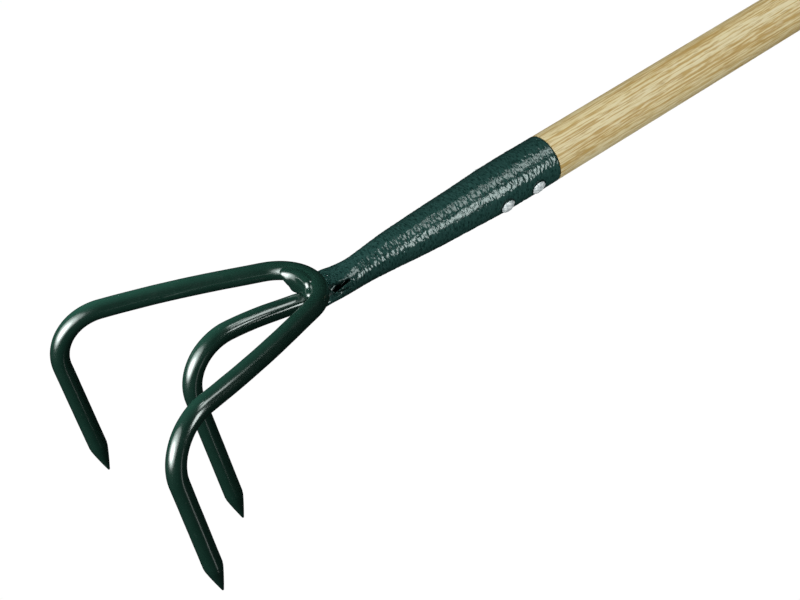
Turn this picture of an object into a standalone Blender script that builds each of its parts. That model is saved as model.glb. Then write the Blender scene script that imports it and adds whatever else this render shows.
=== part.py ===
"""Hand cultivator: a three-tine head on a long ash shaft.

The head is made the way a smith makes it. The two outer tines are one round rod bent to a hairpin, the
middle tine is a second rod, and a sheet-steel socket is flattened round the middle tine's tang. The
hairpin lies across the flattened neck and is welded there. Two rivets hold the shaft in the socket.

Frame: metres, origin at the centre of the shaft's flat butt, +X along the shaft to the head, +Z up, and
the tines point down. Heights and widths of the head are measured from the shaft's axis.
"""

from math import acos, asin, ceil, cos, pi, radians, sin, tan

import bmesh
import bpy
from mathutils import Matrix, Vector

MM = 0.001
FIT_GAP = 0.3 * MM

SHAFT_RADIUS = 14.0 * MM
SHAFT_STICKOUT = 1080.0 * MM
BUTT_FLAT_RADIUS = 5.0 * MM
SPIGOT_LENGTH = 100.0 * MM
SPIGOT_STRAIGHT = 18.0 * MM
SPIGOT_END_RADIUS = 8.0 * MM
SPIGOT_CHAMFER = 1.5 * MM

SHEET = 1.3 * MM
SOCKET_MOUTH_RADIUS = 14.1 * MM

# The socket's outer sections: distance from the mouth, half width, half height and rise of the centre.
SOCKET_SECTIONS = (
    (0.0 * MM, SOCKET_MOUTH_RADIUS, SOCKET_MOUTH_RADIUS, 0.0 * MM),
    (33.0 * MM, 14.0 * MM, 14.0 * MM, 0.2 * MM),
    (61.0 * MM, 12.8 * MM, 12.8 * MM, 0.4 * MM),
    (87.0 * MM, 11.6 * MM, 11.6 * MM, 0.8 * MM),
    (109.0 * MM, 10.1 * MM, 10.1 * MM, 1.4 * MM),
    (123.0 * MM, 8.9 * MM, 8.9 * MM, 1.3 * MM),
    (132.0 * MM, 8.9 * MM, 8.1 * MM, 1.1 * MM),
    (140.0 * MM, 10.7 * MM, 7.3 * MM, 1.7 * MM),
    (147.0 * MM, 12.8 * MM, 6.2 * MM, 2.7 * MM),
    (154.0 * MM, 12.4 * MM, 4.5 * MM, 2.15 * MM),
    (158.5 * MM, 12.3 * MM, 4.5 * MM, 2.1 * MM),
)
SOCKET_RING_STEP = 5.6 * MM
SOCKET_SIDES = 32

# The gap where the rolled sheet's edges part, on the shoulder of the neck.
SEAM_GAP_FROM = 137.5 * MM
SEAM_GAP_TO = 152.0 * MM
SEAM_GAP_WIDTH = 3.4 * MM
SEAM_GAP_DEPTH = 5.0 * MM
SEAM_GAP_SIDE = 8.0 * MM
SEAM_GAP_HEIGHT = 7.0 * MM
SEAM_GAP_LEAN = radians(46.0)
SEAM_GAP_CORNER = SEAM_GAP_WIDTH * 0.49

RIVET_STATIONS = {"rivet_front": 37.5 * MM, "rivet_rear": 15.5 * MM}
RIVET_DROOP = radians(21.0)
RIVET_SHANK_RADIUS = 2.4 * MM
RIVET_HEAD_RADIUS = 4.1 * MM
RIVET_HEAD_HEIGHT = 1.9 * MM
RIVET_HOLE_REACH = SOCKET_MOUTH_RADIUS * 1.5

ROD_RADIUS = 5.05 * MM
ROD_SIDES = 16
ROD_SPACING = 4.5 * MM
TIP_LENGTH = 18.0 * MM
TIP_BLUNTNESS = 0.13

# Centreline corners: distance from the socket's mouth, side and height.
HAIRPIN_CORNER = Vector((155.7, 16.8, 12.0)) * MM
HAIRPIN_RADIUS = 25.6 * MM
OUTER_BOW = Vector((216.6, 43.9, 20.0)) * MM
OUTER_BOW_RADIUS = 480.0 * MM
OUTER_BEND = Vector((277.6, 62.5, 27.0)) * MM
OUTER_TIP = Vector((276.6, 61.7, -77.2)) * MM

TANG_END = Vector((123.0, 0.0, 1.8)) * MM
TANG_ROOT = Vector((163.2, 0.0, 2.2)) * MM
TANG_ROOT_RADIUS = 60.0 * MM
MIDDLE_BOW = Vector((194.5, 0.0, 9.9)) * MM
MIDDLE_BOW_RADIUS = 185.0 * MM
MIDDLE_BEND = Vector((236.9, 0.0, 14.5)) * MM
MIDDLE_TIP = Vector((234.5, 0.0, -103.75)) * MM
PRONG_BEND_RADIUS = 26.0 * MM

TANG_FLAT = 0.5
TANG_SPREAD = 1.3
TANG_FLAT_TO = 156.0 * MM
TANG_ROUND_FROM = 168.0 * MM

# Weld beads before the rods and the neck are cut out of them: centre and half sizes.
CROTCH_WELD_CENTRE = Vector((159.5, 0.0, 9.3)) * MM
CROTCH_WELD_SIZE = Vector((8.5, 15.0, 5.2)) * MM
UNDER_WELD_CENTRE = Vector((160.5, 0.0, -0.2)) * MM
UNDER_WELD_SIZE = Vector((4.5, 10.0, 4.4)) * MM

SHAFT_STEPS = 48
RIVET_STEPS = 20
HOLE_STEPS = 16
BUTT_STEPS = 4
DOME_STEPS = 5
BEAD_SEGMENTS = 20
BEAD_RINGS = 12
MERGE_DISTANCE = 0.01 * MM
SHARP_EDGE = radians(35.0)

PAINT_GREEN = (0.012, 0.035, 0.030, 1.0)
HAMMERED_GREEN = (0.014, 0.045, 0.038, 1.0)
ASH_WOOD = (0.60, 0.44, 0.25, 1.0)
BRIGHT_STEEL = (0.70, 0.70, 0.68, 1.0)


def clear_scene():
    for old in list(bpy.data.objects):
        bpy.data.objects.remove(old, do_unlink=True)


def new_collection(name):
    collection = bpy.data.collections.new(name)
    bpy.context.scene.collection.children.link(collection)
    return collection


def new_material(name, color, roughness, metallic=0.0):
    material = bpy.data.materials.new(name)
    material.use_nodes = True
    shader = material.node_tree.nodes["Principled BSDF"]
    shader.inputs["Base Color"].default_value = color
    shader.inputs["Roughness"].default_value = roughness
    shader.inputs["Metallic"].default_value = metallic
    material.diffuse_color = color
    return material


def add_object(name, mesh, collection, material=None):
    obj = bpy.data.objects.new(name, mesh)
    collection.objects.link(obj)
    if material:
        mesh.materials.append(material)
    return obj


def hide_cutter(obj):
    obj.hide_render = True
    obj.display_type = "WIRE"
    return obj


def cut(obj, cutter):
    boolean = obj.modifiers.new("cut_" + cutter.name, "BOOLEAN")
    boolean.operation = "DIFFERENCE"
    boolean.solver = "EXACT"
    boolean.object = cutter


def at_head(point):
    """Turn a place measured from the socket's mouth into the part's frame."""
    return Vector((SHAFT_STICKOUT + point[0], point[1], point[2]))


def smooth_step(value, low, high):
    share = min(max((value - low) / (high - low), 0.0), 1.0)
    return share * share * (3.0 - 2.0 * share)


# --- Rods ---------------------------------------------------------------------------------------------


def fillet(corner, before, after, radius):
    """The points of the arc that rounds one corner of a centreline."""
    to_before = (before - corner).normalized()
    to_after = (after - corner).normalized()
    turn = pi - acos(to_before.dot(to_after))
    start = corner + to_before * radius * tan(turn / 2)
    centre = corner + (to_before + to_after).normalized() * radius / cos(turn / 2)
    spoke = start - centre
    axis = to_after.cross(to_before).normalized()
    count = max(4, ceil(radius * turn / ROD_SPACING))
    return [centre + Matrix.Rotation(turn * step / count, 3, axis) @ spoke for step in range(count + 1)]


def rounded_path(corners, radii):
    path = [corners[0]]
    for index, radius in enumerate(radii, start=1):
        path += fillet(corners[index], corners[index - 1], corners[index + 1], radius)
    return path + [corners[-1]]


def add_tip_points(path):
    """Put points along the last straight stretch, where the rod is drawn to a point."""
    tip = path[-1]
    back = (path[-2] - tip).normalized()
    shoulder = [tip + back * TIP_LENGTH * share for share in (1.0, 0.75, 0.5, 0.25)]
    return path[:-1] + shoulder + [tip]


def tip_scale(point, tips):
    """Share of the full rod radius left at a point: 1 on the rod, almost 0 at a tip."""
    nearest = min((point - tip).length for tip in tips)
    share = min(nearest / TIP_LENGTH, 1.0)
    return TIP_BLUNTNESS + (1.0 - TIP_BLUNTNESS) * sin(share * pi / 2) ** 0.75 * share ** 0.25


def rod_mesh(name, path, tips, radius):
    """A bent round rod as one closed mesh, made from a bevelled curve."""
    curve = bpy.data.curves.new(name + "_curve", "CURVE")
    curve.dimensions = "3D"
    curve.bevel_depth = radius
    curve.bevel_resolution = ROD_SIDES // 2 - 2
    curve.use_fill_caps = True
    spline = curve.splines.new("POLY")
    spline.points.add(len(path) - 1)
    for spline_point, place in zip(spline.points, path):
        spline_point.co = (*at_head(place), 1.0)
        spline_point.radius = tip_scale(place, tips)
    holder = bpy.data.objects.new(name + "_curve", curve)
    bpy.context.scene.collection.objects.link(holder)
    graph = bpy.context.evaluated_depsgraph_get()
    mesh = bpy.data.meshes.new_from_object(holder.evaluated_get(graph))
    bpy.data.objects.remove(holder, do_unlink=True)
    bpy.data.curves.remove(curve)
    mesh.name = name
    weld_mesh(mesh)
    return mesh


def weld_mesh(mesh):
    work = bmesh.new()
    work.from_mesh(mesh)
    bmesh.ops.remove_doubles(work, verts=work.verts, dist=MERGE_DISTANCE)
    bmesh.ops.recalc_face_normals(work, faces=work.faces)
    work.to_mesh(mesh)
    work.free()


def outer_path():
    right = rounded_path(
        [HAIRPIN_CORNER, OUTER_BOW, OUTER_BEND, OUTER_TIP],
        [OUTER_BOW_RADIUS, PRONG_BEND_RADIUS],
    )
    apex = Vector((HAIRPIN_CORNER.x, 0.0, HAIRPIN_CORNER.z))
    half = fillet(HAIRPIN_CORNER, apex, OUTER_BOW, HAIRPIN_RADIUS)[1:] + add_tip_points(right[1:])
    mirrored = [Vector((place.x, -place.y, place.z)) for place in reversed(half)]
    return mirrored + [apex] + half


def middle_path():
    path = rounded_path(
        [TANG_END, TANG_ROOT, MIDDLE_BOW, MIDDLE_BEND, MIDDLE_TIP],
        [TANG_ROOT_RADIUS, MIDDLE_BOW_RADIUS, PRONG_BEND_RADIUS],
    )
    straight = [TANG_END.lerp(path[1], share) for share in (0.25, 0.5, 0.75)]
    return add_tip_points(path[:1] + straight + path[1:])


def outer_rod_mesh(name, radius):
    mirror_tip = Vector((OUTER_TIP.x, -OUTER_TIP.y, OUTER_TIP.z))
    return rod_mesh(name, outer_path(), (OUTER_TIP, mirror_tip), radius)


def middle_rod_mesh(name, radius):
    """The middle tine, with its tang hammered flat and wide where the neck grips it."""
    mesh = rod_mesh(name, middle_path(), (MIDDLE_TIP,), radius)
    for vertex in mesh.vertices:
        along = vertex.co.x - SHAFT_STICKOUT
        if vertex.co.z < MIDDLE_TIP.z / 2 or along > TANG_ROUND_FROM:
            continue
        share = smooth_step(along, TANG_FLAT_TO, TANG_ROUND_FROM)
        middle = TANG_END.z + (TANG_ROOT.z - TANG_END.z) * min(
            (along - TANG_END.x) / (TANG_ROOT.x - TANG_END.x), 1.0
        )
        flat = TANG_FLAT + (1.0 - TANG_FLAT) * share
        spread = TANG_SPREAD + (1.0 - TANG_SPREAD) * share
        vertex.co.z = middle + (vertex.co.z - middle) * flat
        vertex.co.y *= spread
    return mesh


# --- Socket -------------------------------------------------------------------------------------------


def section_at(station):
    """Half width, half height and rise of the socket at a station, by a smooth cubic through the table."""
    rows = SOCKET_SECTIONS
    index = max(i for i in range(len(rows) - 1) if rows[i][0] <= station)
    before = rows[max(index - 1, 0)]
    start = rows[index]
    end = rows[index + 1]
    after = rows[min(index + 2, len(rows) - 1)]
    span = end[0] - start[0]
    t = (station - start[0]) / span
    values = []
    for column in (1, 2, 3):
        slope_start = (end[column] - before[column]) / (end[0] - before[0]) * span
        slope_end = (after[column] - start[column]) / (after[0] - start[0]) * span
        values.append(
            (2 * t**3 - 3 * t**2 + 1) * start[column]
            + (t**3 - 2 * t**2 + t) * slope_start
            + (3 * t**2 - 2 * t**3) * end[column]
            + (t**3 - t**2) * slope_end
        )
    return values


def socket_loft(name, first, last, grow, closed_ends):
    """Rings of oval sections joined by faces, open at both ends unless closed_ends is set."""
    work = bmesh.new()
    count = ceil((last - first) / SOCKET_RING_STEP)
    rings = []
    for step in range(count + 1):
        station = first + (last - first) * step / count
        half_width, half_height, rise = section_at(min(station, SOCKET_SECTIONS[-1][0] - 1e-9))
        ring = []
        for side in range(SOCKET_SIDES):
            angle = 2 * pi * side / SOCKET_SIDES
            place = at_head((
                station,
                (half_width + grow) * cos(angle),
                rise + (half_height + grow) * sin(angle),
            ))
            ring.append(work.verts.new(place))
        rings.append(ring)
    for ring, following in zip(rings, rings[1:]):
        for side in range(SOCKET_SIDES):
            after = (side + 1) % SOCKET_SIDES
            work.faces.new((ring[side], ring[after], following[after], following[side]))
    if closed_ends:
        work.faces.new(reversed(rings[0]))
        work.faces.new(rings[-1])
    mesh = bpy.data.meshes.new(name)
    work.to_mesh(mesh)
    work.free()
    return mesh


def build_socket(parts, cutters, material):
    mesh = socket_loft("socket", 0.0, SOCKET_SECTIONS[-1][0], 0.0, closed_ends=False)
    socket = add_object("socket", mesh, parts, material)
    solidify = socket.modifiers.new("sheet", "SOLIDIFY")
    solidify.thickness = SHEET
    solidify.offset = -1.0
    solidify.use_even_offset = True
    for cutter in rivet_hole_cutters(cutters):
        cut(socket, cutter)
    cut(socket, seam_gap_cutter(cutters))
    return socket


def seam_gap_cutter(cutters):
    """A slot with round ends, square to the neck's shoulder."""
    length = SEAM_GAP_TO - SEAM_GAP_FROM
    work = bmesh.new()
    bmesh.ops.create_cube(work, size=1.0)
    bmesh.ops.scale(work, vec=(length, SEAM_GAP_WIDTH, SEAM_GAP_DEPTH), verts=work.verts)
    upright = [edge for edge in work.edges if abs((edge.verts[0].co - edge.verts[1].co).z) > FIT_GAP]
    bmesh.ops.bevel(work, geom=upright, offset=SEAM_GAP_CORNER, segments=4, affect="EDGES", profile=0.5)
    mesh = bpy.data.meshes.new("seam_gap_cutter")
    work.to_mesh(mesh)
    work.free()
    cutter = hide_cutter(add_object("seam_gap_cutter", mesh, cutters))
    cutter.location = at_head(((SEAM_GAP_FROM + SEAM_GAP_TO) / 2, SEAM_GAP_SIDE, SEAM_GAP_HEIGHT))
    cutter.rotation_euler = (-SEAM_GAP_LEAN, 0.0, 0.0)
    return cutter


# --- Turned pieces ------------------------------------------------------------------------------------


def turned(name, profile, steps, collection, material=None):
    """A profile of (radius, height) points turned round the local Z axis, top to bottom."""
    mesh = bpy.data.meshes.new(name)
    points = [(radius, 0.0, height) for radius, height in profile]
    mesh.from_pydata(points, [(i, i + 1) for i in range(len(points) - 1)], [])
    obj = add_object(name, mesh, collection, material)
    screw = obj.modifiers.new("turn", "SCREW")
    screw.axis = "Z"
    screw.angle = 2 * pi
    screw.steps = steps
    screw.render_steps = steps
    screw.use_merge_vertices = True
    screw.merge_threshold = MERGE_DISTANCE
    screw.use_smooth_shade = True
    return obj


def shaft_profile():
    """From the end of the spigot, over the shoulder, to the rounded butt with its flat centre."""
    spigot_root = SOCKET_MOUTH_RADIUS - SHEET - FIT_GAP
    edge = SHAFT_RADIUS - BUTT_FLAT_RADIUS
    profile = [
        (0.0, SHAFT_STICKOUT + SPIGOT_LENGTH),
        (SPIGOT_END_RADIUS - SPIGOT_CHAMFER, SHAFT_STICKOUT + SPIGOT_LENGTH),
        (SPIGOT_END_RADIUS, SHAFT_STICKOUT + SPIGOT_LENGTH - SPIGOT_CHAMFER),
        (spigot_root, SHAFT_STICKOUT + SPIGOT_STRAIGHT),
        (spigot_root, SHAFT_STICKOUT - FIT_GAP),
        (SHAFT_RADIUS, SHAFT_STICKOUT - FIT_GAP),
    ]
    for step in range(BUTT_STEPS + 1):
        angle = pi / 2 * step / BUTT_STEPS
        profile.append((BUTT_FLAT_RADIUS + edge * cos(angle), edge * (1.0 - sin(angle))))
    return profile + [(0.0, 0.0)]


def build_shaft(parts, cutters, material):
    shaft = turned("ash_shaft", shaft_profile(), SHAFT_STEPS, parts, material)
    shaft.rotation_euler = (0.0, pi / 2, 0.0)
    for cutter in rivet_hole_cutters(cutters):
        cut(shaft, cutter)
    return shaft


def rivet_rotation():
    """Turns local Z to the rivets' axis, across the shaft and a little below level on the +Y side."""
    return (-(pi / 2 + RIVET_DROOP), 0.0, 0.0)


def rivet_hole_cutters(cutters):
    holes = []
    for name, station in RIVET_STATIONS.items():
        hole_name = name + "_hole"
        if hole_name not in bpy.data.objects:
            radius = RIVET_SHANK_RADIUS + FIT_GAP
            half = [(0.0, RIVET_HOLE_REACH), (radius, RIVET_HOLE_REACH)]
            profile = half + [(along, -height) for along, height in reversed(half)]
            hole = hide_cutter(turned(hole_name, profile, HOLE_STEPS, cutters))
            hole.location = at_head((station, 0.0, 0.0))
            hole.rotation_euler = rivet_rotation()
        holes.append(bpy.data.objects[hole_name])
    return holes


def rivet_profile():
    """A shank with a domed head at each end."""
    seat = SOCKET_MOUTH_RADIUS + FIT_GAP
    ball = (RIVET_HEAD_RADIUS**2 + RIVET_HEAD_HEIGHT**2) / (2 * RIVET_HEAD_HEIGHT)
    sweep = asin(RIVET_HEAD_RADIUS / ball)
    dome = []
    for step in range(DOME_STEPS + 1):
        angle = sweep * step / DOME_STEPS
        dome.append((ball * sin(angle), seat + RIVET_HEAD_HEIGHT - ball * (1.0 - cos(angle))))
    upper = dome + [(RIVET_SHANK_RADIUS, seat)]
    return upper + [(radius, -height) for radius, height in reversed(upper)]


def build_rivets(parts, material):
    for name, station in RIVET_STATIONS.items():
        rivet = turned(name, rivet_profile(), RIVET_STEPS, parts, material)
        rivet.location = at_head((station, 0.0, 0.0))
        rivet.rotation_euler = rivet_rotation()


# --- Tines and welds ----------------------------------------------------------------------------------


def build_tines(parts, material):
    add_object("outer_tines", outer_rod_mesh("outer_tines", ROD_RADIUS), parts, material)
    add_object("middle_tine", middle_rod_mesh("middle_tine", ROD_RADIUS), parts, material)


def weld_cutters(cutters):
    """The rods and the neck, grown by the fitting gap, which the weld beads are cut back from."""
    grown = ROD_RADIUS + FIT_GAP
    neck_from = SOCKET_SECTIONS[-4][0]
    neck_to = SOCKET_SECTIONS[-1][0] + FIT_GAP
    meshes = {
        "outer_tines_clearance": outer_rod_mesh("outer_tines_clearance", grown),
        "middle_tine_clearance": middle_rod_mesh("middle_tine_clearance", grown),
        "neck_clearance": socket_loft("neck_clearance", neck_from, neck_to, FIT_GAP, closed_ends=True),
    }
    return [hide_cutter(add_object(name, mesh, cutters)) for name, mesh in meshes.items()]


def weld_bead(name, centre, half_sizes, clearances, parts, material):
    work = bmesh.new()
    bmesh.ops.create_uvsphere(work, u_segments=BEAD_SEGMENTS, v_segments=BEAD_RINGS, radius=1.0)
    bmesh.ops.scale(work, vec=half_sizes, verts=work.verts)
    mesh = bpy.data.meshes.new(name)
    work.to_mesh(mesh)
    work.free()
    bead = add_object(name, mesh, parts, material)
    bead.location = at_head(centre)
    for clearance in clearances:
        cut(bead, clearance)


def build_welds(parts, cutters, material):
    clearances = weld_cutters(cutters)
    weld_bead("crotch_weld", CROTCH_WELD_CENTRE, CROTCH_WELD_SIZE, clearances, parts, material)
    weld_bead("under_weld", UNDER_WELD_CENTRE, UNDER_WELD_SIZE, clearances, parts, material)


def shade_round(obj):
    if obj.data.polygons:
        obj.data.shade_smooth()
        obj.data.set_sharp_from_angle(angle=SHARP_EDGE)


def main():
    clear_scene()
    parts = new_collection("hand_cultivator")
    cutters = new_collection("cutters")
    gloss = new_material("tine_enamel", PAINT_GREEN, 0.25)
    hammered = new_material("socket_enamel", HAMMERED_GREEN, 0.40)
    wood = new_material("ash_wood", ASH_WOOD, 0.60)
    steel = new_material("rivet_metal", BRIGHT_STEEL, 0.30, metallic=1.0)
    build_shaft(parts, cutters, wood)
    build_socket(parts, cutters, hammered)
    build_rivets(parts, steel)
    build_tines(parts, gloss)
    build_welds(parts, cutters, gloss)
    for obj in parts.objects:
        shade_round(obj)


main()
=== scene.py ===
"""Looks for the hand cultivator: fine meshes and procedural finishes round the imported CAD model.

Places along the tool are measured from the socket's mouth, heights and widths from the shaft's axis, both
in millimetres, and at_head() turns them into the frame's metres.
"""

from math import acos, asin, ceil, cos, degrees, exp, pi, radians, sin, tan

import bmesh
import bpy
from mathutils import Matrix, Vector, noise


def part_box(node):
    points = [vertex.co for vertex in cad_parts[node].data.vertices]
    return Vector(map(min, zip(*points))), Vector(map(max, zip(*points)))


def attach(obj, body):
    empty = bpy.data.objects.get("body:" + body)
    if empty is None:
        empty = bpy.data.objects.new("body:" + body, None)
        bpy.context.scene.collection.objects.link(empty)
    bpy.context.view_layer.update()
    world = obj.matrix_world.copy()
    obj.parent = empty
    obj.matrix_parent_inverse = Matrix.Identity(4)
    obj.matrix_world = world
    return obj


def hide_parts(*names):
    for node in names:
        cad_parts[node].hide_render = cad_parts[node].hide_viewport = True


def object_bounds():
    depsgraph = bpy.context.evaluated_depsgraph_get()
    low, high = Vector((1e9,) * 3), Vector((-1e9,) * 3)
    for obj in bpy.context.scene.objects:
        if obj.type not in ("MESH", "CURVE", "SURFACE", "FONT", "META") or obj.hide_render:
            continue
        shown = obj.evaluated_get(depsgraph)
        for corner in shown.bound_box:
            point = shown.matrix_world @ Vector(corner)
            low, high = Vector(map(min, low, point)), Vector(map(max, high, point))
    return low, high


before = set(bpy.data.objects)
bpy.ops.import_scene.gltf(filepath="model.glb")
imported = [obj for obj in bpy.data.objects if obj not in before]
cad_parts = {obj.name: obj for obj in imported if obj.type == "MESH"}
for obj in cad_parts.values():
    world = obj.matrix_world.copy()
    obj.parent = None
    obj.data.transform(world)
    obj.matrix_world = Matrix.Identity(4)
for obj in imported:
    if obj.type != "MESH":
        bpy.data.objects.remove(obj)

cad_low, cad_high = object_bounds()

MM = 0.001
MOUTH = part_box("socket")[0].x
BODY = "root"


def at_head(place):
    """A place in millimetres from the socket's mouth, as a point of the frame in metres."""
    return Vector((MOUTH + place[0] * MM, place[1] * MM, place[2] * MM))


def smooth_step(value, low, high):
    share = min(max((value - low) / (high - low), 0.0), 1.0)
    return share * share * (3.0 - 2.0 * share)


def mesh_object(name, mesh):
    obj = bpy.data.objects.new(name, mesh)
    bpy.context.scene.collection.objects.link(obj)
    return obj


def grid_mesh(name, rings, closed):
    """A mesh skinned over rings of points, with flat ends if closed, or else bent round to its first ring."""
    work = bmesh.new()
    rows = [[work.verts.new(point) for point in ring] for ring in rings]
    sides = len(rows[0])
    pairs = list(zip(rows, rows[1:]))
    if closed:
        work.faces.new(list(reversed(rows[0])))
        work.faces.new(rows[-1])
    else:
        pairs.append((rows[-1], rows[0]))
    for row, following in pairs:
        for side in range(sides):
            after = (side + 1) % sides
            work.faces.new((row[side], row[after], following[after], following[side]))
    bmesh.ops.recalc_face_normals(work, faces=work.faces)
    for face in work.faces:
        face.smooth = True
    mesh = bpy.data.meshes.new(name)
    work.to_mesh(mesh)
    work.free()
    return mesh


def place_piece(obj, nodes, material):
    """Give a finished piece its body and its material, and hide the CAD nodes it stands for."""
    obj.data.materials.clear()
    obj.data.materials.append(material)
    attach(obj, BODY)
    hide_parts(*nodes)


# --- Node helpers -------------------------------------------------------------------------------------


class Nodes:
    """A material's node tree with short calls for the nodes that the finishes use."""

    def __init__(self, name):
        self.material = bpy.data.materials.new(name)
        self.material.use_nodes = True
        self.tree = self.material.node_tree
        self.shader = self.tree.nodes["Principled BSDF"]

    def add(self, kind, **settings):
        node = self.tree.nodes.new(kind)
        for key, value in settings.items():
            setattr(node, key, value)
        return node

    def join(self, source, target):
        self.tree.links.new(source, target)

    def put(self, node, socket, value):
        """Set a socket to a number or colour, or link it if value is another node's output."""
        if isinstance(value, bpy.types.NodeSocket):
            self.join(value, node.inputs[socket])
        else:
            node.inputs[socket].default_value = value

    def place(self, scale=(1.0, 1.0, 1.0)):
        """Object coordinates, stretched by scale."""
        coordinates = self.add("ShaderNodeTexCoord")
        mapping = self.add("ShaderNodeMapping")
        self.join(coordinates.outputs["Object"], mapping.inputs["Vector"])
        mapping.inputs["Scale"].default_value = scale
        return mapping.outputs["Vector"]

    def noise(self, vector, scale, detail=2.0, roughness=0.5):
        node = self.add("ShaderNodeTexNoise")
        self.join(vector, node.inputs["Vector"])
        self.put(node, "Scale", scale)
        self.put(node, "Detail", detail)
        self.put(node, "Roughness", roughness)
        return node.outputs["Fac"]

    def cells(self, vector, scale, smoothness):
        node = self.add("ShaderNodeTexVoronoi", feature="SMOOTH_F1")
        self.join(vector, node.inputs["Vector"])
        self.put(node, "Scale", scale)
        self.put(node, "Smoothness", smoothness)
        return node.outputs["Distance"]

    def ramp(self, factor, stops):
        """stops are (position, grey or colour) pairs."""
        node = self.add("ShaderNodeValToRGB")
        elements = node.color_ramp.elements
        while len(elements) < len(stops):
            elements.new(0.5)
        for element, (position, color) in zip(elements, stops):
            element.position = position
            element.color = color if isinstance(color, tuple) else (color, color, color, 1.0)
        self.join(factor, node.inputs["Fac"])
        return node.outputs["Color"]

    def mix(self, factor, first, second):
        node = self.add("ShaderNodeMix", data_type="RGBA")
        self.put(node, 0, factor)
        self.put(node, 6, first)
        self.put(node, 7, second)
        return node.outputs[2]

    def math(self, operation, first, second):
        node = self.add("ShaderNodeMath", operation=operation)
        self.put(node, 0, first)
        self.put(node, 1, second)
        return node.outputs[0]

    def warp(self, vector, scale, amount):
        """The vector shifted by a smooth noise, to bend a pattern that is laid on it."""
        shift = self.add("ShaderNodeTexNoise")
        self.join(vector, shift.inputs["Vector"])
        self.put(shift, "Scale", scale)
        centred = self.add("ShaderNodeVectorMath", operation="SUBTRACT")
        self.join(shift.outputs["Color"], centred.inputs[0])
        centred.inputs[1].default_value = (0.5, 0.5, 0.5)
        sized = self.add("ShaderNodeVectorMath", operation="SCALE")
        self.join(centred.outputs[0], sized.inputs[0])
        sized.inputs["Scale"].default_value = amount
        total = self.add("ShaderNodeVectorMath", operation="ADD")
        self.join(vector, total.inputs[0])
        self.join(sized.outputs[0], total.inputs[1])
        return total.outputs[0]

    def attribute(self, name):
        return self.add("ShaderNodeAttribute", attribute_name=name).outputs["Fac"]

    def bump(self, height, distance, under=None):
        node = self.add("ShaderNodeBump")
        self.join(height, node.inputs["Height"])
        self.put(node, "Distance", distance)
        self.put(node, "Strength", 1.0)
        if under is not None:
            self.join(under, node.inputs["Normal"])
        return node.outputs["Normal"]

    def finish(self, **inputs):
        """Set the shader's sockets; spaces in their names are written as underscores."""
        for key, value in inputs.items():
            self.put(self.shader, key.replace("_", " "), value)
        return self.material


# --- Finishes -----------------------------------------------------------------------------------------


def gloss_enamel(name="tine_enamel", lumps=0.0):
    """Thick dark green gloss enamel on rod: faint orange peel, and a trace of steel at the very tips."""
    nodes = Nodes(name)
    place = nodes.place()
    tint = nodes.noise(place, 90.0, detail=3.0)
    paint = nodes.mix(tint, (0.0030, 0.0140, 0.0096, 1.0), (0.0048, 0.0190, 0.0134, 1.0))
    speck = nodes.ramp(nodes.noise(place, 600.0, detail=2.0, roughness=0.6), [(0.66, 0.0), (0.76, 1.0)])
    dusty = nodes.mix(nodes.math("MULTIPLY", speck, 0.10), paint, (0.10, 0.13, 0.12, 1.0))
    worn = nodes.ramp(
        nodes.math("ADD", nodes.attribute("wear"), nodes.math("MULTIPLY", nodes.noise(place, 700.0), 0.5)),
        [(0.86, 0.0), (0.98, 1.0)],
    )
    color = nodes.mix(worn, dusty, (0.34, 0.35, 0.34, 1.0))
    peel = nodes.bump(nodes.noise(place, 380.0, detail=1.0), 0.000002)
    runs = nodes.bump(nodes.noise(place, 90.0, detail=1.0), 0.00002, under=peel)
    roughness = nodes.ramp(nodes.noise(place, 160.0, detail=3.0), [(0.3, 0.18), (0.7, 0.25)])
    return nodes.finish(
        Base_Color=color,
        Roughness=nodes.mix(worn, roughness, (0.42, 0.42, 0.42, 1.0)),
        Metallic=worn,
        Normal=runs if lumps == 0.0 else nodes.bump(nodes.noise(place, 520.0, detail=4.0), lumps, under=runs),
        Specular_IOR_Level=0.9,
        Specular_Tint=(0.85, 1.0, 0.95, 1.0),
        Coat_Weight=0.6,
        Coat_Roughness=0.13,
    )


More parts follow.
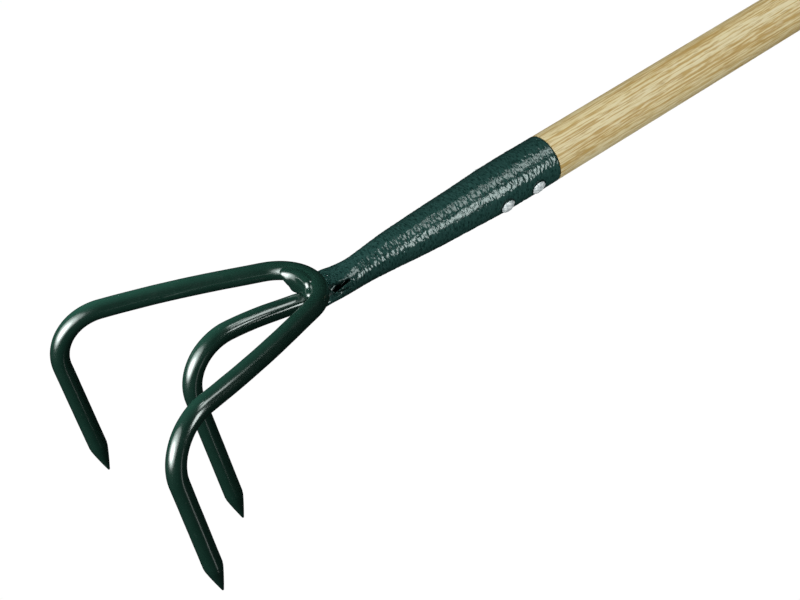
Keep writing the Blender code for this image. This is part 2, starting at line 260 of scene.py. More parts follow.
def hammered_enamel():
    """Hammered green enamel: a net of raised curls round small dimples, with painted shade in the dimples and
    painted light on the curls, and near-black painted shade without reflection in the gap and crease of the
    neck and round the rivets.
    """
    nodes = Nodes("socket_enamel")
    place = nodes.place()
    across = nodes.place((1.0, 0.45, 0.45))
    dimples = nodes.cells(nodes.warp(across, 330.0, 0.0012), 850.0, smoothness=0.6)
    curls = nodes.cells(nodes.warp(across, 700.0, 0.0008), 1500.0, smoothness=0.45)
    height = nodes.math("ADD", dimples, nodes.math("MULTIPLY", curls, 0.45))
    tint = nodes.noise(place, 260.0, detail=3.0, roughness=0.6)
    # Painted shade and light of the relief: the paint is darker in the dimples and lighter on the raised
    # curls.
    low = nodes.mix(tint, (0.0020, 0.0140, 0.0120, 1.0), (0.0045, 0.0210, 0.0180, 1.0))
    high = nodes.mix(tint, (0.0120, 0.0400, 0.0350, 1.0), (0.0160, 0.0500, 0.0440, 1.0))
    paint = nodes.mix(nodes.ramp(height, [(0.30, 0.0), (0.75, 1.0)]), low, high)
    # Painted shade: the paint goes near black in the neck's gap and crease and in the rings round the rivets.
    shade = nodes.attribute("painted_recess_shade")
    color = nodes.mix(shade, paint, (0.0006, 0.0014, 0.0012, 1.0))
    roughness = nodes.ramp(nodes.noise(place, 500.0, detail=2.0), [(0.3, 0.13), (0.7, 0.21)])
    # Reflection and coat fade out where that painted shade lies, so that it reads black.
    open_skin = nodes.math("SUBTRACT", 1.0, shade)
    return nodes.finish(
        Base_Color=color,
        Roughness=nodes.mix(shade, roughness, (0.85, 0.85, 0.85, 1.0)),
        Normal=nodes.bump(height, 0.00007),
        Specular_Tint=(0.80, 1.0, 0.96, 1.0),
        Specular_IOR_Level=nodes.math("MULTIPLY", open_skin, 0.5),
        Coat_Weight=nodes.math("MULTIPLY", open_skin, 0.35),
        Coat_Roughness=0.15,
    )


def ash_grain():
    """Pale ash: broad figure round the shaft, crowded streaks along it, and open brown pores."""
    nodes = Nodes("ash_wood")
    figure = nodes.noise(nodes.warp(nodes.place((2.5, 62.0, 62.0)), 1.3, 0.5), 1.0, detail=2.0)
    rings = nodes.noise(nodes.warp(nodes.place((7.0, 1080.0, 1080.0)), 0.3, 0.7), 1.0, detail=1.5)
    dashes = nodes.noise(nodes.place((75.0, 1400.0, 1400.0)), 1.0, detail=2.0, roughness=0.6)
    streak = nodes.math("ADD", nodes.math("MULTIPLY", rings, 0.55), nodes.math("MULTIPLY", dashes, 0.45))
    fleck = nodes.noise(nodes.place((80.0, 1250.0, 1250.0)), 1.0, detail=2.0, roughness=0.6)
    tan = nodes.mix(figure, (0.34, 0.218, 0.064, 1.0), (0.42, 0.305, 0.108, 1.0))
    cream = nodes.mix(figure, (0.52, 0.430, 0.212, 1.0), (0.60, 0.545, 0.350, 1.0))
    amount = nodes.math("ADD", streak, nodes.math("MULTIPLY", nodes.math("SUBTRACT", figure, 0.5), 0.22))
    color = nodes.mix(nodes.ramp(amount, [(0.455, 0.0), (0.535, 1.0)]), tan, cream)
    pore_mask = nodes.ramp(fleck, [(0.34, 1.0), (0.44, 0.0)])
    color = nodes.mix(nodes.math("MULTIPLY", pore_mask, 0.65), color, (0.30, 0.190, 0.055, 1.0))
    flash = nodes.ramp(fleck, [(0.60, 0.0), (0.70, 1.0)])
    color = nodes.mix(nodes.math("MULTIPLY", flash, 0.45), color, (0.60, 0.560, 0.420, 1.0))
    return nodes.finish(
        Base_Color=color,
        Roughness=nodes.ramp(streak, [(0.3, 0.46), (0.7, 0.58)]),
        Normal=nodes.bump(fleck, 0.00008, under=nodes.bump(streak, 0.00008)),
        Specular_IOR_Level=0.35,
        Coat_Weight=0.10,
        Coat_Roughness=0.35,
    )


def rivet_metal():
    """Bright aluminium, dulled, with faint marks from the rivet set."""
    nodes = Nodes("rivet_metal")
    place = nodes.place()
    marks = nodes.noise(place, 700.0, detail=3.0, roughness=0.6)
    bright = nodes.ramp(marks, [(0.40, 0.0), (0.60, 1.0)])
    color = nodes.mix(bright, (0.44, 0.51, 0.52, 1.0), (0.86, 0.92, 0.92, 1.0))
    return nodes.finish(
        Base_Color=color,
        Metallic=0.35,
        Roughness=nodes.ramp(marks, [(0.3, 0.40), (0.7, 0.55)]),
        Normal=nodes.bump(nodes.noise(place, 520.0, detail=2.0), 0.00010),
    )


# --- Rods ---------------------------------------------------------------------------------------------

ROD_RADIUS = 5.05
ROD_SIDES = 40
ROD_STEP = 1.2
TIP_LENGTH = 18.0
TIP_RADIUS = 0.65
TIP_BULGE = 0.10
TIP_SHOULDER = 0.25
TIP_MARGIN = 2.0
TIP_OVERRUN = 1.5
TIP_ROWS = 24
FORGING_DEPTH = 0.06
WEAR_REACH = 1.6
WEAR_MOST = 0.75

# Centreline corners: distance from the socket's mouth, side and height.
HAIRPIN_CORNER = Vector((155.7, 16.8, 12.0))
HAIRPIN_RADIUS = 25.6
OUTER_BOW = Vector((216.6, 43.9, 20.0))
OUTER_BOW_RADIUS = 480.0
OUTER_BEND = Vector((277.6, 62.5, 27.0))
OUTER_TIP = Vector((276.6, 61.7, -77.2))

TANG_END = Vector((123.0, 0.0, 1.8))
TANG_ROOT = Vector((163.2, 0.0, 2.2))
TANG_ROOT_RADIUS = 60.0
MIDDLE_BOW = Vector((194.5, 0.0, 9.9))
MIDDLE_BOW_RADIUS = 185.0
MIDDLE_BEND = Vector((236.9, 0.0, 14.5))
MIDDLE_TIP = Vector((234.5, 0.0, -103.75))
PRONG_BEND_RADIUS = 26.0

TANG_FLAT = 0.5
TANG_SPREAD = 1.3
TANG_FLAT_TO = 156.0
TANG_ROUND_FROM = 168.0


def fillet(corner, before, after, radius):
    to_before = (before - corner).normalized()
    to_after = (after - corner).normalized()
    turn = pi - acos(to_before.dot(to_after))
    start = corner + to_before * radius * tan(turn / 2)
    centre = corner + (to_before + to_after).normalized() * radius / cos(turn / 2)
    axis = to_after.cross(to_before).normalized()
    count = max(4, ceil(radius * turn / ROD_STEP))
    return [
        centre + Matrix.Rotation(turn * step / count, 3, axis) @ (start - centre)
        for step in range(count + 1)
    ]


def rounded_path(corners, radii):
    path = [corners[0]]
    for index, radius in enumerate(radii, start=1):
        path += fillet(corners[index], corners[index - 1], corners[index + 1], radius)
    return path + [corners[-1]]


def evenly(path):
    """The path with its long straight stretches divided to the rods' step."""
    dense = [path[0]]
    for start, end in zip(path, path[1:]):
        count = max(1, round((end - start).length / ROD_STEP))
        dense += [start.lerp(end, (step + 1) / count) for step in range(count)]
    return dense


def tip_radius(distance):
    """Radius of a rod at a distance from its tip: a rounded end, a forged taper, then the full rod."""
    if distance < TIP_RADIUS:
        return TIP_RADIUS * sin(acos(1.0 - min(distance / TIP_RADIUS, 1.0)))
    share = min((distance - TIP_RADIUS) / (TIP_LENGTH - TIP_RADIUS), 1.0)
    taper = TIP_RADIUS + (ROD_RADIUS - TIP_RADIUS) * (share * (1.0 + TIP_BULGE) - TIP_BULGE * share ** 3)
    return min(taper, ROD_RADIUS - TIP_SHOULDER * exp(-((1.0 - share) * 14.0) ** 2) * (share < 1.0))


def tip_points(tip, back):
    """Closely spaced centreline points over a tip, from the end of the rod backwards."""
    close = [0.02, 0.08, 0.18, 0.32, 0.48, TIP_RADIUS]
    reach = TIP_LENGTH + TIP_OVERRUN - TIP_RADIUS
    taper = [TIP_RADIUS + reach * step / TIP_ROWS for step in range(1, TIP_ROWS + 1)]
    return [tip + back * distance for distance in close + taper]


def rod_rings(path, tips):
    """Rings of points round a centreline, with a frame carried along it without twist."""
    rings = []
    tangent = (path[1] - path[0]).normalized()
    side = tangent.orthogonal().normalized()
    for index, place in enumerate(path):
        ahead = path[min(index + 1, len(path) - 1)]
        behind = path[max(index - 1, 0)]
        turned = (ahead - behind).normalized()
        side = tangent.rotation_difference(turned) @ side
        side = (side - turned * side.dot(turned)).normalized()
        tangent = turned
        across = tangent.cross(side)
        nearest = min((place - tip).length for tip in tips)
        radius = tip_radius(nearest)
        ring = []
        for step in range(ROD_SIDES):
            angle = 2 * pi * step / ROD_SIDES
            outward = side * cos(angle) + across * sin(angle)
            forging = noise.noise((place + outward * 4.0) * 0.09) * FORGING_DEPTH
            ring.append(place + outward * (radius + forging * min(nearest / 6.0, 1.0)))
        rings.append(ring)
    return rings


def rod_piece(name, path, tips, shape_point=lambda point: point):
    rings = [[at_head(shape_point(point)) for point in ring] for ring in rod_rings(path, tips)]
    mesh = grid_mesh(name, rings, closed=True)
    wear = mesh.attributes.new("wear", "FLOAT", "POINT")
    tips_in_frame = [at_head(tip) for tip in tips]
    for vertex, value in zip(mesh.vertices, wear.data):
        nearest = min((vertex.co - tip).length for tip in tips_in_frame) / MM
        value.value = exp(-nearest / WEAR_REACH) * WEAR_MOST
    return mesh_object(name, mesh)


def with_tips(path, first_tip, last_tip):
    """The path with its ends replaced by the close rows of points that a pointed tip needs."""
    body = evenly(path)
    if first_tip:
        back = (body[8] - body[0]).normalized()
        kept = [place for place in body if (place - body[0]).length > TIP_LENGTH + TIP_MARGIN]
        body = tip_points(body[0], back) + kept
    if last_tip:
        back = (body[-8] - body[-1]).normalized()
        kept = [place for place in body if (place - body[-1]).length > TIP_LENGTH + TIP_MARGIN]
        body = kept + list(reversed(tip_points(body[-1], back)))
    return body


def outer_path():
    apex = Vector((HAIRPIN_CORNER.x, 0.0, HAIRPIN_CORNER.z))
    arm = rounded_path(
        [HAIRPIN_CORNER, OUTER_BOW, OUTER_BEND, OUTER_TIP], [OUTER_BOW_RADIUS, PRONG_BEND_RADIUS]
    )
    half = fillet(HAIRPIN_CORNER, apex, OUTER_BOW, HAIRPIN_RADIUS)[1:] + arm[1:]
    mirrored = [Vector((place.x, -place.y, place.z)) for place in reversed(half)]
    return with_tips(mirrored + [apex] + half, first_tip=True, last_tip=True)


def middle_path():
    path = rounded_path(
        [TANG_END, TANG_ROOT, MIDDLE_BOW, MIDDLE_BEND, MIDDLE_TIP],
        [TANG_ROOT_RADIUS, MIDDLE_BOW_RADIUS, PRONG_BEND_RADIUS],
    )
    return with_tips(path, first_tip=False, last_tip=True)


def hammer_tang(point):
    """Flatten and spread the end of the middle rod that the neck grips."""
    if point.z < MIDDLE_TIP.z / 2 or point.x > TANG_ROUND_FROM:
        return point
    share = smooth_step(point.x, TANG_FLAT_TO, TANG_ROUND_FROM)
    along = min((point.x - TANG_END.x) / (TANG_ROOT.x - TANG_END.x), 1.0)
    middle = TANG_END.z + (TANG_ROOT.z - TANG_END.z) * along
    height = middle + (point.z - middle) * (TANG_FLAT + (1.0 - TANG_FLAT) * share)
    return Vector((point.x, point.y * (TANG_SPREAD + (1.0 - TANG_SPREAD) * share), height))


# --- Socket -------------------------------------------------------------------------------------------

# Outer sections: distance from the mouth, half width, half height and rise of the centre.
SOCKET_SECTIONS = (
    (0.0, 14.1, 14.1, 0.0),
    (33.0, 14.0, 14.0, 0.2),
    (61.0, 12.8, 12.8, 0.4),
    (87.0, 11.6, 11.6, 0.8),
    (109.0, 10.1, 10.1, 1.4),
    (123.0, 8.9, 8.9, 1.3),
    (132.0, 8.9, 8.1, 1.1),
    (140.0, 10.7, 7.3, 1.7),
    (147.0, 12.8, 6.2, 2.7),
    (154.0, 12.4, 4.5, 2.15),
    (158.5, 12.3, 4.5, 2.1),
)
SOCKET_SIDES = 240
SOCKET_STEP = 0.4
INNER_STEP = 6.0
SHEET = 1.3
LIP = 0.3

# The gap in the neck, by distance from the mouth and by angle up from the +Y side, in degrees.
GAP_FROM = 138.2
GAP_TO = 150.6
GAP_DEPTH = 3.2
GAP_ANGLE = 33.0
GAP_RISE = 12.0
GAP_HALF_ANGLE = 5.0
GAP_WIDENING = 10.0
CREASE_FROM = 140.0
CREASE_TO = 149.4
CREASE_DEPTH = 0.9
CREASE_ANGLE = 2.0
CREASE_RISE = 2.7
CREASE_WIDTH = 2.6
TONGUE_LIFT = 0.3
TONGUE_ANGLE = 26.0
TONGUE_RISE = 2.4
TONGUE_WIDTH = 3.0

RIVET_STATIONS = {"rivet_front": 37.5, "rivet_rear": 15.5}
RIVET_DROOP = radians(21.0)
RIVET_HEAD_RADIUS = 4.2
SEAT_DEPTH = 0.2
SEAT_WIDTH = 0.5

HAMMER_CREST = 0.07
HAMMER_DEPTH = 0.32
HAMMER_RIPPLE = 0.030
HAMMER_SEED = 7


def section_at(station):
    """Half width, half height and rise of the socket at a station, by a smooth cubic through the table."""
    rows = SOCKET_SECTIONS
    station = min(station, rows[-1][0] - 1e-6)
    index = max(i for i in range(len(rows) - 1) if rows[i][0] <= station)
    before = rows[max(index - 1, 0)]
    start = rows[index]
    end = rows[index + 1]
    after = rows[min(index + 2, len(rows) - 1)]
    span = end[0] - start[0]
    t = (station - start[0]) / span
    values = []
    for column in (1, 2, 3):
        slope_start = (end[column] - before[column]) / (end[0] - before[0]) * span
        slope_end = (after[column] - start[column]) / (after[0] - start[0]) * span
        values.append(
            (2 * t**3 - 3 * t**2 + 1) * start[column]
            + (t**3 - 2 * t**2 + t) * slope_start
            + (3 * t**2 - 2 * t**3) * end[column]
            + (t**3 - t**2) * slope_end
        )
    return values


def gap_share(station, angle):
    """How far the gap sinks the sheet at a place, from 0 to 1."""
    along = (station - GAP_FROM) / (GAP_TO - GAP_FROM)
    if not -0.2 < along < 1.2:
        return 0.0
    middle = GAP_ANGLE + GAP_RISE * along
    half = GAP_HALF_ANGLE + GAP_WIDENING * along
    walls = 1.0 - smooth_step(abs(angle - middle) / half, 0.80, 1.08)
    start = smooth_step(station, GAP_FROM - 0.4, GAP_FROM + 1.4)
    return walls * start * (1.0 - smooth_step(station, GAP_TO - 0.6, GAP_TO + 0.5))


def crease_share(station, angle):
    """The thin crease under the tongue of sheet, from 0 to 1."""
    middle = CREASE_ANGLE + CREASE_RISE * (station - CREASE_FROM)
    ends = smooth_step(station, CREASE_FROM - 0.8, CREASE_FROM + 2.5) * (
        1.0 - smooth_step(station, CREASE_TO - 0.5, CREASE_TO + 0.8)
    )
    return ends * exp(-((angle - middle) / CREASE_WIDTH) ** 2)


def tongue_share(station, angle):
    """The raised edge of the tongue between the gap and the crease, from 0 to 1."""
    middle = TONGUE_ANGLE - TONGUE_RISE * (GAP_TO - 4.7 - station)
    ends = smooth_step(station, GAP_FROM + 1.5, GAP_FROM + 4.0) * (
        1.0 - smooth_step(station, GAP_TO - 5.0, GAP_TO - 3.5)
    )
    return ends * exp(-((angle - middle) / TONGUE_WIDTH) ** 2)


def hammering(place):
    """Relief of the hammered finish at a place, in millimetres: low domes, longer across the socket."""
    bent = place + noise.noise_vector(place * 0.35) * 0.8
    nearest = noise.voronoi(Vector((bent.x * 0.76 + bent.z * 0.10, bent.y * 0.31, bent.z * 0.31)))[0][0]
    fine = noise.noise(Vector((bent.x * 1.5, bent.y * 0.8 + 7.0, bent.z * 0.8)))
    return HAMMER_CREST - min(nearest, 1.0) ** 2 * HAMMER_DEPTH + fine * HAMMER_RIPPLE


def rivet_seat(place):
    """The shallow ring that each rivet's head has pressed into the sheet, from 0 to 1; the same share also
    sets painted shade round the head.
    """
    share = 0.0
    for station in RIVET_STATIONS.values():
        if abs(place.x - station) < 2 * RIVET_HEAD_RADIUS:
            off_axis = place.y * sin(RIVET_DROOP) + place.z * cos(RIVET_DROOP)
            distance = Vector((place.x - station, off_axis)).length
            share = max(share, exp(-((distance - RIVET_HEAD_RADIUS - SEAT_WIDTH) / SEAT_WIDTH) ** 2))
    return share


def socket_ring(station, inside):
    """One ring of (place, painted shade) pairs of the socket's outer or inner skin."""
    half_width, half_height, rise = section_at(station)
    smooth = smooth_step(station, 0.0, 1.5) * (1.0 - 0.6 * smooth_step(station, 118.0, 150.0))
    ring = []
    for step in range(SOCKET_SIDES):
        angle = 2 * pi * step / SOCKET_SIDES
        turn = degrees(angle) if angle < pi else degrees(angle) - 360.0
        flat = Vector((0.0, cos(angle) * half_width, sin(angle) * half_height))
        outward = Vector((0.0, cos(angle) / half_width, sin(angle) / half_height)).normalized()
        place = Vector((station, 0.0, rise)) + flat
        gap = gap_share(station, turn)
        crease = crease_share(station, turn)
        lift = -GAP_DEPTH * gap - CREASE_DEPTH * crease * (1.0 - gap)
        seat = rivet_seat(place)
        if inside:
            lift -= SHEET
        else:
            lift += TONGUE_LIFT * tongue_share(station, turn) * (1.0 - gap)
            lift += hammering(place) * smooth * (1.0 - gap) * (1.0 - seat) - SEAT_DEPTH * seat
        # Painted shade: how far the gap, the crease and each rivet's ring darken the paint here.
        painted_shade = max(smooth_step(gap, 0.2, 0.75), smooth_step(crease, 0.4, 0.9), 0.8 * seat)
        ring.append((place + outward * lift, painted_shade))
    return ring


def build_socket(material):
    noise.seed_set(HAMMER_SEED)
    last = SOCKET_SECTIONS[-1][0]
    outer_count = ceil((last - 2 * LIP) / SOCKET_STEP)
    outer = [LIP + (last - 2 * LIP) * step / outer_count for step in range(outer_count + 1)]
    inner_count = ceil((last - 2 * LIP) / INNER_STEP)
    inner = [LIP + (last - 2 * LIP) * step / inner_count for step in range(inner_count + 1)]
    rings = [socket_ring(station, inside=False) for station in outer]
    rings += [socket_ring(station, inside=True) for station in reversed(inner)]
    end_lips = []
    for station in (last, 0.0):
        skins = [socket_ring(station, inside=inside) for inside in (False, True)]
        outer_skin, inner_skin = skins if station else reversed(skins)
        for share in (0.25, 0.75):
            end_lips.append([
                (first.lerp(second, share), painted_shade)
                for (first, painted_shade), (second, _) in zip(outer_skin, inner_skin)
            ])
    rings = rings[:outer_count + 1] + end_lips[:2] + rings[outer_count + 1:] + end_lips[2:]
    mesh = grid_mesh("socket_shell", [[at_head(place) for place, _ in ring] for ring in rings], closed=False)
    # The painted shade is kept on the mesh as a point attribute for the enamel to read.
    painted_recess_shade = mesh.attributes.new("painted_recess_shade", "FLOAT", "POINT")
    painted_recess_shade.data.foreach_set("value", [painted_shade for ring in rings for _, painted_shade in ring])
    place_piece(mesh_object("socket_shell", mesh), ["socket"], material)


# --- Shaft and rivets ---------------------------------------------------------------------------------

SHAFT_SIDES = 96
SHAFT_ROWS = 120
SHAFT_WAVER = 0.05
BUTT_FLAT_RADIUS = 5.0
BUTT_ROWS = 16
BUTT_CALM = 0.02
SHOULDER_GAP = 0.4
SPIGOT_RADIUS = 12.4
SPIGOT_STRAIGHT = 18.0
SPIGOT_END_RADIUS = 8.0

RIVET_SIDES = 48
RIVET_DOME_ROWS = 14
RIVET_HEAD_BASE = 14.2
RIVET_HEAD_HEIGHT = 1.5
RIVET_SHANK_RADIUS = 2.4
RIVET_DENT = 0.12
SHARP_EDGE = radians(50.0)


def turned_mesh(name, profile, sides, point_of):
    """A mesh turned from (radius, height) points; point_of places a (radius, height, angle)."""
    turns = [2 * pi * step / sides for step in range(sides)]
    rings = [[point_of(radius, height, turn) for turn in turns] for radius, height in profile]
    return grid_mesh(name, rings, closed=True)


def build_shaft(material):
    """The whole shaft: a straight stick with a rounded butt and a spigot that tapers into the socket."""
    low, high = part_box("ash_shaft")
    radius = (high.y - low.y) / 2
    butt_flat = BUTT_FLAT_RADIUS * MM
    round_edge = radius - butt_flat
    profile = [(butt_flat * 0.5, 0.0)]
    for step in range(BUTT_ROWS + 1):
        turn = pi / 2 * step / BUTT_ROWS
        profile.append((butt_flat + round_edge * sin(turn), round_edge * (1.0 - cos(turn))))
    stick = MOUTH - SHOULDER_GAP * MM - round_edge
    profile += [(radius, round_edge + stick * step / SHAFT_ROWS) for step in range(1, SHAFT_ROWS + 1)]
    profile += [
        (SPIGOT_RADIUS * MM, MOUTH - SHOULDER_GAP / 2 * MM),
        (SPIGOT_RADIUS * MM, MOUTH + SPIGOT_STRAIGHT * MM),
        (SPIGOT_END_RADIUS * MM, high.x),
    ]

    def point_of(ring_radius, height, angle):
        around = Vector((0.0, cos(angle), sin(angle)))
        waver = noise.noise(Vector((height * 9.0, around.y * 1.4, around.z * 1.4))) * SHAFT_WAVER * MM
        return Vector((low.x + height, 0.0, 0.0)) + around * (ring_radius + waver * (height > BUTT_CALM))

    mesh = turned_mesh("shaft", profile, SHAFT_SIDES, point_of)
    mesh.set_sharp_from_angle(angle=SHARP_EDGE)
    place_piece(mesh_object("shaft", mesh), ["ash_shaft"], material)


def build_rivet(node, station, material):
    """A rivet with a low dome, beaten slightly flat and uneven, at each end of its shank."""
    ball = (RIVET_HEAD_RADIUS**2 + RIVET_HEAD_HEIGHT**2) / (2 * RIVET_HEAD_HEIGHT)
    sweep = asin(RIVET_HEAD_RADIUS / ball)
    crown = RIVET_HEAD_BASE + RIVET_HEAD_HEIGHT
    dome = []
    for step in range(1, RIVET_DOME_ROWS + 1):
        tilt = sweep * step / RIVET_DOME_ROWS
        dome.append((ball * sin(tilt), crown - ball * (1 - cos(tilt))))
    rim = [(RIVET_HEAD_RADIUS, RIVET_HEAD_BASE - 0.35), (RIVET_SHANK_RADIUS, RIVET_HEAD_BASE - 0.5)]
    upper = dome + rim
    profile = upper + [(radius, -height) for radius, height in reversed(upper)]
    turn = Matrix.Rotation(-(pi / 2 + RIVET_DROOP), 3, "X")
    centre = Vector((station, 0.0, 0.0))

    def point_of(radius, height, angle):
        local = Vector((radius * cos(angle), radius * sin(angle), height))
        dent = noise.noise(local * 0.8 + centre) * RIVET_DENT * (abs(height) > RIVET_HEAD_BASE - 0.1)
        return at_head(centre + turn @ (local + Vector((0.0, 0.0, dent if height > 0 else -dent))))

    mesh = turned_mesh(node + "_head", profile, RIVET_SIDES, point_of)
    mesh.set_sharp_from_angle(angle=SHARP_EDGE)
    place_piece(mesh_object(node + "_body", mesh), [node], material)


# --- Welds --------------------------------------------------------------------------------------------

WELD_SMOOTHING = 60
CROTCH_BEAD_TURN = 2.25
CROTCH_VOXEL = 0.40
CROTCH_LUMP = 0.16
UNDER_BEAD_TURN = 18.0
UNDER_BEAD_RADIUS = 2.1
UNDER_STATION = 160.2
UNDER_HALF_WIDTH = 8.2
UNDER_RISE = 1.8
UNDER_DEPTH = 5.0
UNDER_VOXEL = 0.45
UNDER_LUMP = 0.35

# Rows of beads in the crotch: first and last step round the hairpin, reach, height and radius.
CROTCH_ROWS = (
    (-13, -6, HAIRPIN_RADIUS - 4.2, 12.4, 4.0),
    (-16, 6, HAIRPIN_RADIUS - 4.0, 14.2, 3.3),
    (-12, 12, HAIRPIN_RADIUS - ROD_RADIUS + 0.3, 10.8, 3.5),
    (-9, 9, HAIRPIN_RADIUS - ROD_RADIUS - 0.1, 7.6, 3.5),
)


def bead_cluster(name, beads, voxel, lump):
    """Drops of weld metal run together: spheres joined by a remesh, smoothed and made lumpy."""
    work = bmesh.new()
    for centre, radius in beads:
        matrix = Matrix.Translation(at_head(centre))
        bmesh.ops.create_icosphere(work, subdivisions=3, radius=radius * MM, matrix=matrix)
    mesh = bpy.data.meshes.new(name)
    work.to_mesh(mesh)
    work.free()
    obj = mesh_object(name, mesh)
    remesh = obj.modifiers.new("fuse", "REMESH")
    remesh.mode = "VOXEL"
    remesh.voxel_size = voxel * MM
    smooth = obj.modifiers.new("flow", "SMOOTH")
    smooth.factor = 0.5
    smooth.iterations = WELD_SMOOTHING
    graph = bpy.context.evaluated_depsgraph_get()
    fused = bpy.data.meshes.new_from_object(obj.evaluated_get(graph))
    obj.modifiers.clear()
    obj.data = fused
    normals = [vertex.normal.copy() for vertex in fused.vertices]
    for vertex, normal in zip(fused.vertices, normals):
        place = vertex.co / MM
        ripple = noise.noise(place * 0.24) * lump + noise.noise(place * 1.1) * lump * 0.05
        vertex.co += normal * ripple * MM
    fused.shade_smooth()
    return obj


def crotch_beads():
    """Weld along the inside of the hairpin, heavier on the -Y side, and a web down to the middle tine."""
    centre_x = HAIRPIN_CORNER.x + HAIRPIN_RADIUS
    beads = []
    for first, last, reach, height, radius in CROTCH_ROWS:
        for step in range(first, last + 1):
            angle = radians(CROTCH_BEAD_TURN * step)
            place = Vector((centre_x - reach * cos(angle), reach * sin(angle), height))
            beads.append((place, radius + noise.noise(place * 0.31) * 0.08))
    return beads


def under_beads():
    """A bow of weld below the neck, where the middle tine leaves it."""
    beads = []
    for step in range(-5, 6):
        angle = radians(UNDER_BEAD_TURN * step)
        station = UNDER_STATION + noise.noise(Vector((step * 1.9, 9.0, 0.0))) * 0.5
        place = Vector((station, UNDER_HALF_WIDTH * sin(angle), UNDER_RISE - UNDER_DEPTH * cos(angle)))
        beads.append((place, UNDER_BEAD_RADIUS))
    return beads


def build_welds(material):
    crotch = bead_cluster("crotch_bead", crotch_beads(), CROTCH_VOXEL, CROTCH_LUMP)
    place_piece(crotch, ["crotch_weld"], material)
    under = bead_cluster("under_bead", under_beads(), UNDER_VOXEL, UNDER_LUMP)
    place_piece(under, ["under_weld"], material)


# --- Studio -------------------------------------------------------------------------------------------

CAMERA_TARGET = (109.16, 0.0, -31.76)
CAMERA_DISTANCE = 848.6 * MM
CAMERA_AZIMUTH = radians(242.225)
CAMERA_PITCH = radians(37.245)
CAMERA_ROLL = radians(-14.327)
CAMERA_LENS = 70.6
SENSOR_WIDTH = 36.0
FLOOR_HALF = 40.0
FLOOR_DROP = 0.002
LIGHT_AIM = (222.0, 0.0, 0.0)
PANEL_DISTANCE = 1.5


def build_camera():
    camera = bpy.data.objects.new("camera", bpy.data.cameras.new("camera"))
    bpy.context.scene.collection.objects.link(camera)
    looking = Vector((
        cos(CAMERA_AZIMUTH) * cos(CAMERA_PITCH),
        sin(CAMERA_AZIMUTH) * cos(CAMERA_PITCH),
        -sin(CAMERA_PITCH),
    ))
    camera.location = at_head(CAMERA_TARGET) - looking * CAMERA_DISTANCE
    turn = looking.to_track_quat("-Z", "Y").to_matrix() @ Matrix.Rotation(CAMERA_ROLL, 3, "Z")
    camera.rotation_euler = turn.to_euler()
    camera.data.sensor_width = SENSOR_WIDTH
    camera.data.lens = CAMERA_LENS
    bpy.context.scene.camera = camera


def build_floor():
    """A white sweep under the tines, lit from within so that it stays pale everywhere."""
    mesh = bpy.data.meshes.new("floor")
    level = cad_low.z - FLOOR_DROP
    corners = [(x * FLOOR_HALF, y * FLOOR_HALF, level) for x, y in ((-1, -1), (1, -1), (1, 1), (-1, 1))]
    mesh.from_pydata(corners, [], [(0, 1, 2, 3)])
    floor = mesh_object("floor", mesh)
    nodes = Nodes("floor_white")
    place = nodes.place()
    paper = nodes.mix(nodes.noise(place, 3.0), (0.98, 0.98, 0.98, 1.0), (1.0, 1.0, 1.0, 1.0))
    nodes.finish(Base_Color=(0.0, 0.0, 0.0, 1.0), Roughness=1.0, Specular_IOR_Level=0.0,
                 Emission_Color=paper, Emission_Strength=1.02)
    floor.data.materials.append(nodes.material)
    floor.visible_glossy = False
    floor.visible_diffuse = False
    floor.visible_shadow = False


def place_lamp(lamp, direction, distance, aim):
    """Face a lamp to a place on the tool, from an azimuth and elevation in degrees, unseen by the camera."""
    around, above = (radians(angle) for angle in direction)
    away = Vector((cos(above) * cos(around), cos(above) * sin(around), sin(above)))
    obj = bpy.data.objects.new(lamp.name, lamp)
    bpy.context.scene.collection.objects.link(obj)
    obj.location = at_head(aim) + away * distance
    obj.rotation_euler = (-away).to_track_quat("-Z", "Y").to_euler()
    obj.visible_camera = False
    return obj


def soft_light(name, direction, size, power, distance=PANEL_DISTANCE, aim=LIGHT_AIM):
    """A soft oval panel, which shows in the enamel as a highlight."""
    lamp = bpy.data.lights.new(name, "AREA")
    lamp.shape = "ELLIPSE"
    lamp.size, lamp.size_y = size
    lamp.energy = power
    place_lamp(lamp, direction, distance, aim)


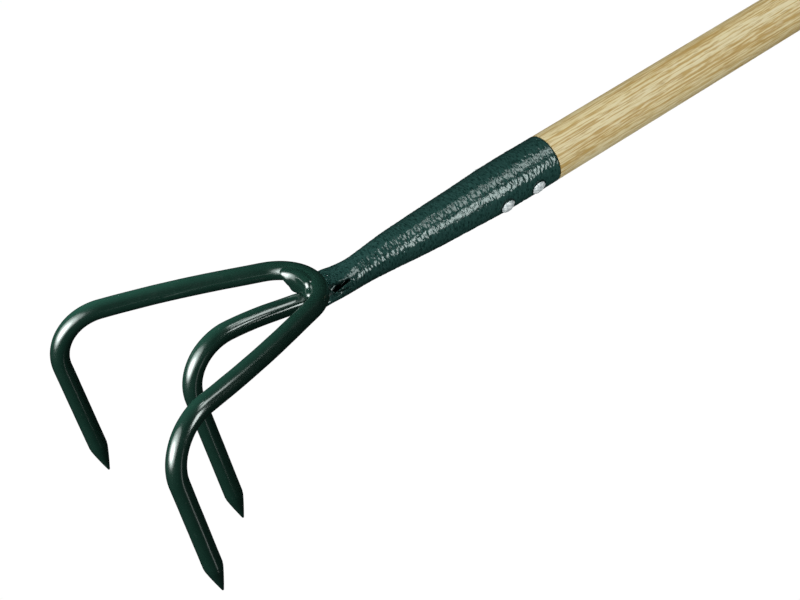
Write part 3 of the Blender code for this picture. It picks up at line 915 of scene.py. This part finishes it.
def fill_spot(name, direction, distance, power, aim, angle):
    """A soft-edged spot that brightens paint and wood but leaves no reflection."""
    lamp = bpy.data.lights.new(name, "SPOT")
    lamp.energy = power
    lamp.spot_size = radians(angle)
    lamp.spot_blend = 1.0
    lamp.shadow_soft_size = 0.06
    place_lamp(lamp, direction, distance, aim).visible_glossy = False


def build_lights():
    soft_light("head_core", (6, 24), (1.10, 0.85), 18.0)
    soft_light("head_ring", (6, 27), (1.70, 1.35), 20.0)
    soft_light("head_halo", (6, 30), (2.50, 1.90), 30.0)
    soft_light("side_key", (143, 43), (0.62, 0.50), 4.2)
    soft_light("side_low", (118, 11), (0.40, 0.80), 7.0)
    soft_light("overhead", (155, 60), (0.30, 0.24), 1.1)
    soft_light("low_strip", (107, -24), (0.018, 0.20), 0.010, distance=0.142, aim=(276.0, 62.0, -50.0))
    fill_spot("rim_fill", (-105, 48), 0.6, 78.0, (290.0, 0.0, 0.0), 31)
    fill_spot("wood_fill", (70, -42), 0.6, 7.0, (-130.0, 0.0, 0.0), 60)
    fill_spot("shaft_fill", (120, 50), 1.0, 14.0, (-700.0, 0.0, 0.0), 60)
    fill_spot("butt_fill", (200, 25), 0.7, 12.0, (-1080.0, 0.0, 0.0), 70)
    fill_spot("wood_rim", (-110, 35), 0.6, 3.5, (-150.0, 0.0, 0.0), 60)
    world = bpy.data.worlds.new("studio")
    bpy.context.scene.world = world
    world.use_nodes = True
    background = world.node_tree.nodes["Background"]
    background.inputs["Color"].default_value = (0.75, 0.95, 0.88, 1.0)
    background.inputs["Strength"].default_value = 0.008


def build_tool():
    gloss = gloss_enamel()
    lumpy = gloss_enamel("weld_enamel", lumps=0.00004)
    outer_tip_left = Vector((OUTER_TIP.x, -OUTER_TIP.y, OUTER_TIP.z))
    outer = rod_piece("outer_rod", outer_path(), [OUTER_TIP, outer_tip_left])
    place_piece(outer, ["outer_tines"], gloss)
    middle = rod_piece("middle_rod", middle_path(), [MIDDLE_TIP], shape_point=hammer_tang)
    place_piece(middle, ["middle_tine"], gloss)
    build_welds(lumpy)
    build_socket(hammered_enamel())
    build_shaft(ash_grain())
    metal = rivet_metal()
    for node, station in RIVET_STATIONS.items():
        build_rivet(node, station, metal)


build_tool()
build_camera()
build_floor()
build_lights()
bpy.context.scene.view_settings.view_transform = "Standard"
